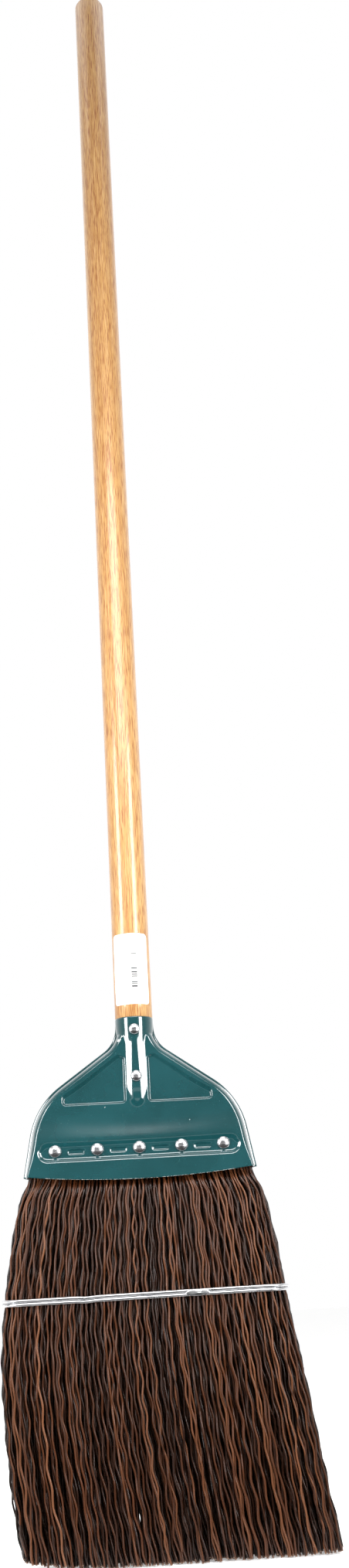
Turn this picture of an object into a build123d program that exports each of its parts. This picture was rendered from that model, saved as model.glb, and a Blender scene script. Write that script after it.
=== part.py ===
from build123d import *

import math
import os

# Upright flat broom: a turned wooden handle riveted into a cap of two pressed steel halves. The cap
# clamps a fan of crimped plastic fibres, which a band of two wires holds together further down.
#
# Frame, in millimetres: +Z runs up the handle, -Y is the front face of the cap and +X is to the right
# when the front is faced. The origin is on the handle's axis, in the plane of the fibre tips.

# ---- driving dimensions ----
HANDLE_RADIUS = 14.3  # 1 1/8 inch dowel
HANDLE_TOP = 1406.0
HANDLE_END_ROUND = 6.0
COLLAR_TOP = 366.0
SHEET = 0.9  # steel of the cap
FIBRE_RIVET_Z = 270.0
FIBRE_RIVET_PITCH = 30.8
FIBRE_RIVET_COUNT = 5
HANDLE_RIVET_Z = {"upper": 356.4, "lower": 321.7}
HINGE_Z = 208.0  # height at which the bending of the fibres is lumped into one hinge
HINGE_SLOPE = 19.0  # degrees between the faces that the hinge's travel closes
BAND_Z = 168.5
BAND_WIRE = 2.3  # diameter of each wire of the band
FIT = 0.25  # gap between the fibre pack and the steel
SNUG = 0.05  # gap round a rivet, and round the handle in its socket
COLLAR_RADIUS = 14.5  # outside, all but flush with the handle above it
REACH = 400.0  # longer than any cut has to be
CAP_REACH = 40.0  # further than the cap and the fibres reach to the front or back

os.makedirs("parts", exist_ok=True)


def smooth_step(start, end, value):
    """0 at start, 1 at end and an even S between them, with no change beyond either."""
    share = min(max((value - start) / (end - start), 0.0), 1.0)
    return share * share * (3.0 - 2.0 * share)


def prism(outline, y_low, y_high):
    """A face drawn in X and Z, as a solid from y_low to y_high."""
    return Pos(0, y_high, 0) * extrude(Plane.XZ * outline, y_high - y_low)


def disc(x, z, y_low, y_high, radius):
    """A cylinder along Y."""
    return Pos(x, (y_low + y_high) / 2, z) * Rot(90, 0, 0) * Cylinder(radius, y_high - y_low)


def save(name, shape):
    """Write one node's file."""
    shape.label = name
    export_step(shape, os.path.join("parts", name + ".step"))


# ================================ form of the cap ================================
# Seen from the front the cap is an outline with a hemmed edge. Level sections inside that edge are
# rounded rectangles, crossed by the round socket that the handle's tenon fits.

SHOULDER = (COLLAR_RADIUS, COLLAR_TOP - 17.2)  # where the slope of the shoulder would meet the neck
SHOULDER_ROUND = 22.0
HIP = (76.8, COLLAR_TOP - 60.8)  # where it would meet the side
HIP_ROUND = 56.0
MOUTH_CORNER = (86.0, COLLAR_TOP - 113.0)
MOUTH_MIDDLE_Z = COLLAR_TOP - 118.0
HEM_WIDTH = 2.2
HEM_TOP = COLLAR_TOP - 13.0
HEM_DEPTH = 1.4  # of each half's flange
FORM_LEVELS = (352, 346, 339, 331, 322, 312, 302, 292, 281, 269, 258, 249, 240)
NECK_DEPTH = 4.0  # half depths of the cap, front to back
WING_DEPTH = 11.5
ROW_DEPTH = 15.4
MOUTH_DEPTH = 16.4
EDGE_ROUND = 5.5  # rounding of the long edges


def edge_curve():
    """The right-hand edge of the cap's outline, from the collar down to the mouth."""
    return FilletPolyline(
        (COLLAR_RADIUS, COLLAR_TOP), SHOULDER, HIP, MOUTH_CORNER, radius=(SHOULDER_ROUND, HIP_ROUND)
    )


def half_width(level):
    """Half the outline's width at a height, found by halving the edge curve's length."""
    if level <= MOUTH_CORNER[1]:
        return MOUTH_CORNER[0]
    curve = edge_curve()
    near, far = 0.0, 1.0
    for _ in range(30):
        middle = (near + far) / 2
        if (curve @ middle).Y > level:
            near = middle
        else:
            far = middle
    return (curve @ near).X


def half_depth(level):
    """Half the cap's depth at a height, beside the socket."""
    wing = smooth_step(-354, -332, -level)
    row = smooth_step(-310, -272, -level)
    mouth = smooth_step(-280, -240, -level)
    growth = (WING_DEPTH - NECK_DEPTH, ROW_DEPTH - WING_DEPTH, MOUTH_DEPTH - ROW_DEPTH)
    return NECK_DEPTH + growth[0] * wing + growth[1] * row + growth[2] * mouth


def cap_outline(inset):
    """The whole outline seen from the front, moved inwards by inset."""
    right = edge_curve()
    left = right.mirror(Plane.YZ)
    mouth = ThreePointArc(
        MOUTH_CORNER, (0, MOUTH_MIDDLE_Z), (-MOUTH_CORNER[0], MOUTH_CORNER[1])
    )
    top = Line((-COLLAR_RADIUS, COLLAR_TOP), (COLLAR_RADIUS, COLLAR_TOP))
    face = make_face([*right.edges(), *mouth.edges(), *left.edges(), *top.edges()])
    return offset(face, -inset) if inset else face


def wing_form(inset):
    """The cap's body without its socket, running on a little below the mouth."""
    sections = []
    for level in FORM_LEVELS:
        wide = half_width(level) - HEM_WIDTH - inset
        deep = half_depth(level)
        corner = min(EDGE_ROUND, deep - SHEET) - inset
        sections.append(Pos(0, 0, level) * RectangleRounded(2 * wide, 2 * (deep - inset), corner))
    return loft(sections)


# ================================ socket, recesses and trough ================================

SOCKET_STEP = (COLLAR_TOP - 13.5, COLLAR_TOP - 19.0)  # the tenon is turned down between these
TENON_RADIUS = (13.1, 12.7)  # at the step and at its end
TENON_END = COLLAR_TOP - 62.0
SOCKET_END = COLLAR_TOP - 67.0
SOCKET_END_ROUND = 5.0


def turned(points):
    """A solid of revolution about the handle's axis, from points of radius and height."""
    outline = Polyline((0, points[0][1]), *points, (0, points[-1][1]), close=True)
    return revolve(Plane.XZ * make_face(outline), Axis.Z)


def socket_form(inset):
    """The round socket. Its inside is inset by the sheet, its outside by nothing."""
    grow = SHEET + SNUG - inset
    body = turned(
        (
            (COLLAR_RADIUS - inset, COLLAR_TOP),
            (COLLAR_RADIUS - inset, SOCKET_STEP[0]),
            (TENON_RADIUS[0] + grow, SOCKET_STEP[1]),
            (TENON_RADIUS[1] + grow, SOCKET_END + inset),
        )
    )
    low_edge = body.edges().filter_by(GeomType.CIRCLE).sort_by(Axis.Z)[0]
    return fillet(low_edge, SOCKET_END_ROUND - inset / 2)


RECESS_TOP = COLLAR_TOP - 29.0
RECESS_LOW = COLLAR_TOP - 62.3
RECESS_NEAR = 9.5
RECESS_FAR = 55.0
RECESS_BLUNT = (3.0, 4.0)  # width of its top corner and height of its outer corner
RECESS_ROUND = 1.6
RECESS_FLOOR = WING_DEPTH - 1.6  # distance of its floor from the middle plane
TROUGH_LENGTH = 147.0
TROUGH_WIDTH = 13.5
TROUGH_FLOOR = 13.9


def recess_outline(side, grow):
    """A rounded triangle on one wing of the cap."""
    corners = Polyline(
        (RECESS_NEAR, RECESS_TOP),
        (RECESS_NEAR + RECESS_BLUNT[0], RECESS_TOP),
        (RECESS_FAR, RECESS_LOW + RECESS_BLUNT[1]),
        (RECESS_FAR, RECESS_LOW),
        (RECESS_NEAR, RECESS_LOW),
        close=True,
    )
    face = offset(offset(make_face(corners), -RECESS_ROUND), RECESS_ROUND + grow)
    return face if side > 0 else face.mirror(Plane.YZ)


def trough_outline(grow):
    """The long slot with round ends that the fibre rivets sit in."""
    slot = SlotOverall(TROUGH_LENGTH + 2 * grow, TROUGH_WIDTH + 2 * grow)
    return Pos(0, FIBRE_RIVET_Z, 0) * slot


def pressed_in(inset):
    """Everything that the press pushes inwards, on both faces of the cap."""
    cuts = []
    for outline, floor in (
        (recess_outline(1, inset), RECESS_FLOOR),
        (recess_outline(-1, inset), RECESS_FLOOR),
        (trough_outline(inset), TROUGH_FLOOR),
    ):
        cuts.append(prism(outline, -CAP_REACH, inset - floor))
        cuts.append(prism(outline, floor - inset, CAP_REACH))
    return cuts


def within_edges(inset):
    """The space inside the cap's side edges, open below the mouth."""
    skirt = Pos(0, MOUTH_MIDDLE_Z) * Rectangle(2 * (MOUTH_CORNER[0] - inset), 40)
    return prism(cap_outline(inset) + skirt, -CAP_REACH, CAP_REACH)


def cap_form(inset):
    """The cap as a filled body: its outside, or with the sheet as inset its inside."""
    wings = wing_form(inset) - pressed_in(inset)
    if inset:
        return (wings & within_edges(HEM_WIDTH + inset)) + socket_form(inset)
    return (wings & prism(cap_outline(0), -CAP_REACH, CAP_REACH)) + socket_form(0)


# ================================ cap halves ================================

def hem(side):
    """One half's flange along both edges of the cap, where the two halves are folded together."""
    strip = cap_outline(0) - cap_outline(HEM_WIDTH + SHEET)
    strip &= Pos(0, HEM_TOP - REACH / 2) * Rectangle(REACH, REACH)
    strip -= Pos(0, MOUTH_MIDDLE_Z) * Rectangle(2 * (MOUTH_CORNER[0] - HEM_WIDTH - SHEET), 20)
    return prism(strip, -HEM_DEPTH, 0) if side < 0 else prism(strip, 0, HEM_DEPTH)


def rivet_bores():
    """The holes for all seven rivets."""
    bores = [disc(x, FIBRE_RIVET_Z, -CAP_REACH, CAP_REACH, RIVET_SHANK + SNUG) for x in FIBRE_RIVET_X]
    for level in HANDLE_RIVET_Z.values():
        bores.append(disc(0, level, -CAP_REACH, CAP_REACH, RIVET_SHANK + SNUG))
    return bores


def make_cap():
    inside = cap_form(SHEET)
    sheet = cap_form(0) - inside
    for name, side in (("cap_front", -1), ("cap_back", 1)):
        half_space = Pos(0, side * REACH / 2, COLLAR_TOP) * Box(REACH, REACH, REACH)
        half = ((sheet & half_space) + (hem(side) - inside)) - rivet_bores()
        save(name, half)


# ================================ handle and label ================================

LABEL_BOTTOM = COLLAR_TOP + 9.4
LABEL_HEIGHT = 54.8
LABEL_PAPER = 0.12
LABEL_SPAN = (-65.0, 58.0)  # degrees round the handle from the front, positive to the right


def make_handle():
    stick = turned(
        (
            (HANDLE_RADIUS, HANDLE_TOP),
            (HANDLE_RADIUS, COLLAR_TOP),
            (COLLAR_RADIUS - SHEET - SNUG, COLLAR_TOP),
            (COLLAR_RADIUS - SHEET - SNUG, SOCKET_STEP[0]),
            (TENON_RADIUS[0], SOCKET_STEP[1]),
            (TENON_RADIUS[1], TENON_END),
        )
    )
    rims = stick.edges().filter_by(GeomType.CIRCLE).sort_by(Axis.Z)
    stick = fillet(rims[-1], HANDLE_END_ROUND)
    stick = chamfer(stick.edges().filter_by(GeomType.CIRCLE).sort_by(Axis.Z)[0], 1.5)
    save("handle", stick - rivet_bores())


def make_label():
    """A paper label bent round the front of the handle."""
    outer = HANDLE_RADIUS + LABEL_PAPER
    points = []
    for radius, order in ((HANDLE_RADIUS, 1), (outer, -1)):
        for angle in (LABEL_SPAN[0], sum(LABEL_SPAN) / 2, LABEL_SPAN[1])[::order]:
            turn = math.radians(angle)
            points.append((radius * math.sin(turn), -radius * math.cos(turn)))
    edges = [
        ThreePointArc(*points[:3]),
        Line(points[2], points[3]),
        ThreePointArc(*points[3:]),
        Line(points[5], points[0]),
    ]
    save("handle_label", Pos(0, 0, LABEL_BOTTOM) * extrude(make_face(edges), LABEL_HEIGHT))


# ================================ rivets, washers and rod ================================

RIVET_SHANK = 2.4  # radius
FIBRE_RIVET_X = [
    (index - (FIBRE_RIVET_COUNT - 1) / 2) * FIBRE_RIVET_PITCH for index in range(FIBRE_RIVET_COUNT)
]
FIBRE_HEAD = (4.6, 2.7)  # radius and height
HANDLE_HEAD = (4.1, 2.3)
TAIL_HEAD = (3.4, 1.5)
WASHER_RADIUS = 5.2
WASHER_THICK = 1.0
ROD_RADIUS = 2.5
ROD_Z = 285.0
ROD_HALF = 70.0


def dome(x, z, y_base, side, size):
    """A domed head that stands on the level y_base and points to side, -1 for the front."""
    radius, height = size
    ball = (radius * radius + height * height) / (2 * height)
    centre = y_base - side * (ball - height)
    y_low, y_high = sorted((y_base, y_base + side * height))
    return disc(x, z, y_low, y_high, 2 * radius) & Pos(x, centre, z) * Sphere(ball)


def make_rivet(name, washer_name, x, z, seat, head):
    """A rivet through the cap with its washer behind. seat is the distance of both seats."""
    tail = seat + WASHER_THICK
    shank = disc(x, z, -seat, tail, RIVET_SHANK)
    save(name, shank + dome(x, z, -seat, -1, head) + dome(x, z, tail, 1, TAIL_HEAD))
    washer = disc(x, z, seat, tail, WASHER_RADIUS) - disc(x, z, seat, tail, RIVET_SHANK + SNUG)
    save(washer_name, washer)


def make_rivets():
    for index, x in enumerate(FIBRE_RIVET_X, start=1):
        make_rivet(
            f"fibre_rivet_{index}", f"fibre_rivet_washer_{index}", x, FIBRE_RIVET_Z, TROUGH_FLOOR, FIBRE_HEAD
        )
    tenon_seat = TENON_RADIUS[0] + SNUG + SHEET
    for place, seat in (("upper", COLLAR_RADIUS), ("lower", tenon_seat)):
        make_rivet(
            f"handle_rivet_{place}",
            f"handle_rivet_washer_{place}",
            0,
            HANDLE_RIVET_Z[place],
            seat,
            HANDLE_HEAD,
        )


def make_rod():
    save("core_rod", Pos(0, 0, ROD_Z) * Rot(0, 90, 0) * Cylinder(ROD_RADIUS, 2 * ROD_HALF))


# ================================ fibres ================================
# The fan is a filled body of the fibres' outer shape. It spreads below the cap, is pinched by the
# band, and leans to the right towards the tips from use.

FAN_LEVELS = (-12, 20, 55, 90, 128, 168, 205, 232, 262)
FAN_SPREAD = 21.4  # how much wider than the cap's mouth each side is at most
FAN_SPREAD_OVER = 0.75  # share of the fibres' length over which it spreads
FAN_LEAN = 15.8
FAN_LEAN_FROM = 160.0
FAN_DEPTH_MOUTH = 16.2
FAN_DEPTH_BAND = 14.6
FAN_DEPTH_TIPS = 18.6
TIP_LEVEL = (-35.0, 80.0)  # the row of tips is level between these
TIP_RISE = (8.0, 3.5)  # how much higher it is at its left and right ends
HEEL_TOP = 292.5
HINGE_GAP = 0.3


def fan_middle(level):
    """How far the fan's middle has leant to the right at a height."""
    return FAN_LEAN * max((FAN_LEAN_FROM - level) / FAN_LEAN_FROM, 0.0) ** 1.4


def fan_half_width(level):
    below = min(max((MOUTH_CORNER[1] - level) / MOUTH_CORNER[1] / FAN_SPREAD_OVER, 0.0), 1.0)
    return MOUTH_CORNER[0] - 0.6 + FAN_SPREAD * (1.0 - (1.0 - below) ** 2)


def fan_half_depth(level):
    to_band = smooth_step(-MOUTH_MIDDLE_Z, -BAND_Z, -level)
    to_tips = smooth_step(-BAND_Z, 0, -level)
    pinched = FAN_DEPTH_MOUTH + (FAN_DEPTH_BAND - FAN_DEPTH_MOUTH) * to_band
    return pinched + (FAN_DEPTH_TIPS - FAN_DEPTH_BAND) * to_tips


def fan_form():
    sections = []
    for level in FAN_LEVELS:
        deep = fan_half_depth(level)
        section = RectangleRounded(2 * fan_half_width(level), 2 * deep, 0.85 * deep)
        sections.append(Pos(fan_middle(level), 0, level) * section)
    return loft(sections)


def below_mouth():
    """Everything under the cap's mouth, less the gap to the steel."""
    corner_x, corner_z = MOUTH_CORNER
    top = corner_z - FIT
    mouth = ThreePointArc((corner_x, top), (0, MOUTH_MIDDLE_Z - FIT), (-corner_x, top))
    rest = Polyline(
        mouth @ 1,
        (-REACH, top),
        (-REACH, -REACH),
        (REACH, -REACH),
        (REACH, top),
        mouth @ 0,
    )
    return prism(make_face([*mouth.edges(), *rest.edges()]), -CAP_REACH, CAP_REACH)


def hinge_space(slope):
    """Everything under the hinge line, with a roof that falls to the front and the back at slope."""
    eaves = HINGE_Z - CAP_REACH * math.tan(math.radians(slope))
    outline = Polyline(
        (0, HINGE_Z),
        (CAP_REACH, eaves),
        (CAP_REACH, -REACH),
        (-CAP_REACH, -REACH),
        (-CAP_REACH, eaves),
        close=True,
    )
    return extrude(Plane.YZ * make_face(outline), REACH, both=True)


def make_fibre_root(fan):
    """The fibres from their fold over the rod down to the hinge. They stay still with the cap."""
    inset = SHEET + FIT
    gripped = (wing_form(inset) - pressed_in(inset)) & within_edges(HEM_WIDTH + inset)
    gripped &= Pos(0, 0, HEEL_TOP - REACH / 2) * Box(REACH, REACH, REACH)
    free = fan & below_mouth()
    root = (gripped + free) - Pos(0, 0, HINGE_Z + HINGE_GAP - REACH / 2) * Box(REACH, REACH, REACH)
    rod = Pos(0, 0, ROD_Z) * Rot(0, 90, 0) * Cylinder(ROD_RADIUS + SNUG, 2 * ROD_HALF + 2 * SNUG)
    save("fibre_root", root - rod - rivet_bores())


def make_fibre_skirt(fan):
    """The fibres below the hinge, which swing as one."""
    middle = fan_middle(0)
    half = fan_half_width(0)
    flat = Line((TIP_LEVEL[0], 0), (TIP_LEVEL[1], 0))
    left = TangentArc(flat @ 0, (middle - half, TIP_RISE[0]), tangent=(-1, 0))
    right = TangentArc(flat @ 1, (middle + half, TIP_RISE[1]), tangent=(1, 0))
    rest = Polyline(
        right @ 1,
        (REACH, TIP_RISE[1]),
        (REACH, REACH),
        (-REACH, REACH),
        (-REACH, TIP_RISE[0]),
        left @ 1,
    )
    outline = make_face([*left.edges(), *flat.edges(), *right.edges(), *rest.edges()])
    above_tips = prism(outline, -CAP_REACH, CAP_REACH)
    save("fibre_skirt", fan & above_tips & hinge_space(HINGE_SLOPE))


# ================================ wire band ================================

BAND_SPACE = 2.45  # from the middle of one wire to the middle of the other
BAND_PLAY = 0.2  # between the fan's outer shape and the wire
BAND_JOINT_X = 33.0
BAND_JOINT_SIZE = (6.5, 1.0, 2.4)  # half sizes of the weld across both wires


def make_band():
    """Two turns of wire round the fibres, and the weld on the front that joins them."""
    radius = BAND_WIRE / 2
    deep = fan_half_depth(BAND_Z) + BAND_PLAY + radius
    wide = fan_half_width(BAND_Z) + BAND_PLAY + radius
    path = RectangleRounded(2 * wide, 2 * deep, 0.85 * deep).wire()
    for place, side in (("upper", 0.5), ("lower", -0.5)):
        level = BAND_Z + side * BAND_SPACE
        turn = Pos(fan_middle(level), 0, level) * path
        start = Plane(origin=turn @ 0, z_dir=turn % 0)
        save(f"band_wire_{place}", sweep(start * Circle(radius), path=turn))
    bead = scale(Sphere(1), BAND_JOINT_SIZE)
    front = -deep - radius
    bead = Pos(BAND_JOINT_X, front, BAND_Z) * bead
    save("band_joint", bead & Pos(0, front - REACH / 2, BAND_Z) * Box(REACH, REACH, REACH))


make_cap()
make_handle()
make_label()
make_rivets()
make_rod()
whole_fan = fan_form()
make_fibre_root(whole_fan)
make_fibre_skirt(whole_fan)
make_band()
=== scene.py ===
import math
import random

import bmesh
import bpy
import numpy as np
from mathutils import Matrix, Vector


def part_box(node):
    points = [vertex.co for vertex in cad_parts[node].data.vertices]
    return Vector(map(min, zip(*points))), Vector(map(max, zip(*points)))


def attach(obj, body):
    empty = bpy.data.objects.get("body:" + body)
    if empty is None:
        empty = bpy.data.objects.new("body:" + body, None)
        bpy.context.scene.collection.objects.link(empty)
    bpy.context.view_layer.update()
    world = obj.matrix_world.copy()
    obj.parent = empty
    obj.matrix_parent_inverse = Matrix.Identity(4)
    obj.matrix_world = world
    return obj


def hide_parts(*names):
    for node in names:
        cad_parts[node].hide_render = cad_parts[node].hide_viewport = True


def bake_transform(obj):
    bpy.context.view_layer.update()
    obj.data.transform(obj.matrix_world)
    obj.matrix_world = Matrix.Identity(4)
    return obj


# Upright flat broom. Lengths are in metres unless a name ends in _mm, and places come from the frame:
# +Z runs up the handle, -Y is the front of the cap and the fibre tips stand on z = 0.

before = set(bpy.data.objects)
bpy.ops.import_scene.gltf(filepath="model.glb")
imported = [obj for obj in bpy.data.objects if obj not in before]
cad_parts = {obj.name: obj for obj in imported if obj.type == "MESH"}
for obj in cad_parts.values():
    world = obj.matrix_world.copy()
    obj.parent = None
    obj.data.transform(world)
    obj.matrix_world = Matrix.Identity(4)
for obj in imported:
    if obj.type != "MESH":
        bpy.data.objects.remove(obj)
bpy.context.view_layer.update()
MM = 0.001


# ---------------- handle
# A straight 1 1/8 inch dowel of pale straight-grained hardwood, turned round at its top end and
# necked down inside the cap. It is dipped in clear lacquer, so it has a thin gloss over the pores.

def to_linear(text):
    """An sRGB hex colour as Blender's linear colour."""
    parts = [int(text[i:i + 2], 16) / 255 for i in (1, 3, 5)]
    line = [p / 12.92 if p <= 0.04045 else ((p + 0.055) / 1.055) ** 2.4 for p in parts]
    return (*line, 1.0)


def start_material(name, **shader_values):
    """A new material with its shader's plain values set. Gives the material, its nodes, its shader and
    the object coordinates that its patterns are drawn in."""
    material = bpy.data.materials.new(name)
    material.use_nodes = True
    tree = material.node_tree
    shader = tree.nodes["Principled BSDF"]
    for socket, value in shader_values.items():
        shader.inputs[socket.replace("_", " ")].default_value = value
    place = add(tree, "TexCoord").outputs["Object"]
    return material, tree, shader, place


def link_up(tree, node, links):
    """Links a node's sockets to their sources. A source is an output, or a node for its first one."""
    for socket, source in links.items():
        output = source if isinstance(source, bpy.types.NodeSocket) else source.outputs[0]
        tree.links.new(output, node.inputs[socket])


def add(tree, kind, values=None, links=None, stops=(), **settings):
    """Adds a shader node with its settings, its sockets' values, its links and its ramp's stops."""
    node = tree.nodes.new("ShaderNode" + kind)
    for name, value in settings.items():
        setattr(node, name, value)
    for socket, value in (values or {}).items():
        node.inputs[socket].default_value = to_linear(value) if isinstance(value, str) else value
    link_up(tree, node, links or {})
    for _ in stops[2:]:
        node.color_ramp.elements.new(1.0)
    for number, (position, shade) in enumerate(stops):
        element = node.color_ramp.elements[number]
        element.position = position
        element.color = to_linear(shade) if isinstance(shade, str) else (shade, shade, shade, 1.0)
    return node


def one_per(x_mm, y_mm, z_mm):
    """The mapping scale in which one unit of a pattern is this long along each axis."""
    return (1000 / x_mm, 1000 / y_mm, 1000 / z_mm)


def into_scene(name, data):
    """An object of this data, in the scene."""
    thing = bpy.data.objects.new(name, data)
    bpy.context.scene.collection.objects.link(thing)
    return thing


def make_object(name, vertices, faces, material):
    """A mesh object of one material, in the scene."""
    mesh = bpy.data.meshes.new(name)
    mesh.from_pydata([tuple(v) for v in vertices], [], [tuple(f) for f in faces])
    mesh.update()
    mesh.shade_smooth()
    mesh.materials.append(material)
    return into_scene(name, mesh)


def lathe(profile, segments, axis_point=(0.0, 0.0, 0.0), along=(0.0, 0.0, 1.0), first=(1.0, 0.0, 0.0)):
    """Vertices and faces of a turned body. The profile holds (radius, distance along the axis)."""
    along, first = Vector(along), Vector(first)
    second = along.cross(first)
    vertices, faces, rings = [], [], []
    for radius, distance in profile:
        centre = Vector(axis_point) + along * distance
        if radius <= 0:
            rings.append([len(vertices)])
            vertices.append(centre)
            continue
        rings.append(list(range(len(vertices), len(vertices) + segments)))
        for step in range(segments):
            turn = 2 * math.pi * step / segments
            vertices.append(centre + (first * math.cos(turn) + second * math.sin(turn)) * radius)
    for lower, upper in zip(rings, rings[1:]):
        for step in range(segments):
            after = (step + 1) % segments
            corners = [lower[step % len(lower)], lower[after % len(lower)]]
            corners += [upper[after % len(upper)], upper[step % len(upper)]]
            faces.append(list(dict.fromkeys(corners)))
    return vertices, faces


def quarter(centre_radius, centre_distance, radius, start_deg, end_deg, steps):
    """Points of a round edge in a lathe profile, by angle from the outward direction."""
    points = []
    for step in range(steps + 1):
        angle = math.radians(start_deg + (end_deg - start_deg) * step / steps)
        reach = centre_radius + radius * math.cos(angle)
        points.append((max(reach, 0.0), centre_distance + radius * math.sin(angle)))
    return points


def lacquered_hardwood():
    """Open-pored hardwood under clear lacquer: tan, with fine darker dashes along the grain. The
    lacquer gives it long soft highlights that run up the handle."""
    material, tree, shader, place = start_material(
        "lacquered_hardwood", Roughness=0.4, IOR=1.5, Coat_Weight=0.8, Coat_Roughness=0.13
    )
    along_growth = add(tree, "Mapping", {"Scale": one_per(14, 14, 900)}, {"Vector": place})
    growth = add(tree, "TexNoise", {"Scale": 1.0, "Detail": 3.0, "Roughness": 0.55}, {"Vector": along_growth})
    board_stops = ((0.3, "#A77A43"), (0.5, "#B5874D"), (0.7, "#C39A60"))
    board = add(tree, "ValToRGB", links={"Fac": growth}, stops=board_stops)
    # The pores are 0.3 mm wide in the wood. They are drawn 0.5 mm wide, so that they show.
    along_pores = add(tree, "Mapping", {"Scale": one_per(0.5, 0.5, 11)}, {"Vector": place})
    pores = add(tree, "TexNoise", {"Scale": 1.0, "Detail": 2.0}, {"Vector": along_pores})
    dashes = add(tree, "ValToRGB", links={"Fac": pores}, stops=((0.48, 0.0), (0.60, 0.85)))
    grain = add(tree, "Mix", {7: "#86491F"}, {0: dashes, 6: board}, data_type="RGBA").outputs[2]
    along_fibres = add(tree, "Mapping", {"Scale": one_per(0.8, 0.8, 28)}, {"Vector": place})
    fine = add(tree, "TexNoise", {"Scale": 1.0, "Detail": 4.0, "Roughness": 0.65}, {"Vector": along_fibres})
    pale = add(tree, "ValToRGB", links={"Fac": fine}, stops=((0.48, 0.0), (0.66, 0.6)))
    colour = add(tree, "Mix", {7: "#D6B07A"}, {0: pale, 6: grain}, data_type="RGBA").outputs[2]
    rough = add(tree, "MapRange", {"To Min": 0.3, "To Max": 0.5}, {"Value": pores})
    bump = add(tree, "Bump", {"Strength": 0.25, "Distance": 0.15 * MM}, {"Height": pores}, invert=True)
    link_up(tree, shader, {"Base Color": colour, "Roughness": rough, "Normal": bump})
    return material


HANDLE_END_ROUND = 6.0 * MM
HANDLE_SEGMENTS = 96
HANDLE_RINGS = 60
NECK_STEP = 0.75 * MM

handle_low, handle_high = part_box("handle")
cap_low, cap_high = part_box("cap_front")
handle_radius = handle_high.x
collar_top = cap_high.z
wood = lacquered_hardwood()

# The tenon tapers down inside the cap's socket, and a small shoulder sits on the collar's rim.
neck_radius = handle_radius - NECK_STEP
handle_profile = [
    (0.0, handle_low.z),
    (9.2 * MM, handle_low.z),
    (10.2 * MM, collar_top - 32.0 * MM),
    (12.7 * MM, collar_top - 16.0 * MM),
    (neck_radius, collar_top - 4.0 * MM),
    (neck_radius, collar_top + 0.02 * MM),
    (handle_radius - 0.25 * MM, collar_top + 0.05 * MM),
    (handle_radius, collar_top + 0.35 * MM),
]
round_from = handle_high.z - HANDLE_END_ROUND
for step in range(1, HANDLE_RINGS):
    handle_profile.append((handle_radius, collar_top + (round_from - collar_top) * step / HANDLE_RINGS))
handle_profile += quarter(handle_radius - HANDLE_END_ROUND, round_from, HANDLE_END_ROUND, 0, 90, 12)
handle_profile.append((0.0, handle_high.z))
handle = make_object("handle_wood", *lathe(handle_profile, HANDLE_SEGMENTS), wood)
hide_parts("handle")
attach(handle, "root")


# ---------------- label
# A small coated paper label, wrapped round the front of the handle just above the cap. It has plain
# printed bars down its middle, which say nothing.

LABEL_SPAN = (-65.0, 58.0)  # degrees from the front, positive to the right
LABEL_CORNER = 3.0 * MM
LABEL_GRID = (48, 40)
PAPER = 0.12 * MM
INK_LIFT = 0.02 * MM
BAR_SPAN = (-1.0, 17.0)  # degrees
BAR_MARGIN = 13.0 * MM
BAR_STEPS = 6
TICK_COLUMNS = ((-48.0, 8.0, 47.0), (38.0, 20.0, 36.0))  # degrees, and mm up the label from and to


def on_handle(angle_deg, height, lift):
    """A point a little above the handle's surface."""
    turn = math.radians(angle_deg)
    radius = handle_radius + lift
    return (radius * math.sin(turn), -radius * math.cos(turn), height)


def coated_paper():
    """Bright white paper with a satin coating. It reads as flat and clean beside the wood's grain."""
    material, tree, shader, place = start_material("coated_paper", Roughness=0.45, IOR=1.5)
    tooth = add(tree, "TexNoise", {"Scale": 1000 / 1.2, "Detail": 4.0}, {"Vector": place})
    colour = add(tree, "ValToRGB", links={"Fac": tooth}, stops=((0.35, "#EFEEEA"), (0.65, "#FBFAF7")))
    bump = add(tree, "Bump", {"Strength": 0.1, "Distance": 0.05 * MM}, {"Height": tooth})
    link_up(tree, shader, {"Base Color": colour, "Normal": bump})
    return material


def printed_ink():
    """Thin matt black ink that lets a little paper through, so that it isn't a dead black."""
    material, tree, shader, place = start_material("printed_ink", Roughness=0.55)
    cover = add(tree, "TexNoise", {"Scale": 1000 / 0.5, "Detail": 3.0}, {"Vector": place})
    colour = add(tree, "ValToRGB", links={"Fac": cover}, stops=((0.35, "#101012"), (0.7, "#2C2C30")))
    link_up(tree, shader, {"Base Color": colour})
    return material


label_low, label_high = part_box("handle_label")


def grid_faces(rows, columns, start=0, around=False, closed=False, flip=False):
    """Faces between rows of points. Each row can join up with itself, and the last row with the first."""
    row = np.arange(rows if closed else rows - 1)[:, None]
    column = np.arange(columns if around else columns - 1)[None, :]
    here, ahead = start + row * columns, start + (row + 1) % rows * columns
    after = (column + 1) % columns
    quads = np.stack([here + column, here + after, ahead + after, ahead + column], axis=-1).reshape(-1, 4)
    return (quads[:, ::-1] if flip else quads).tolist()


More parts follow.
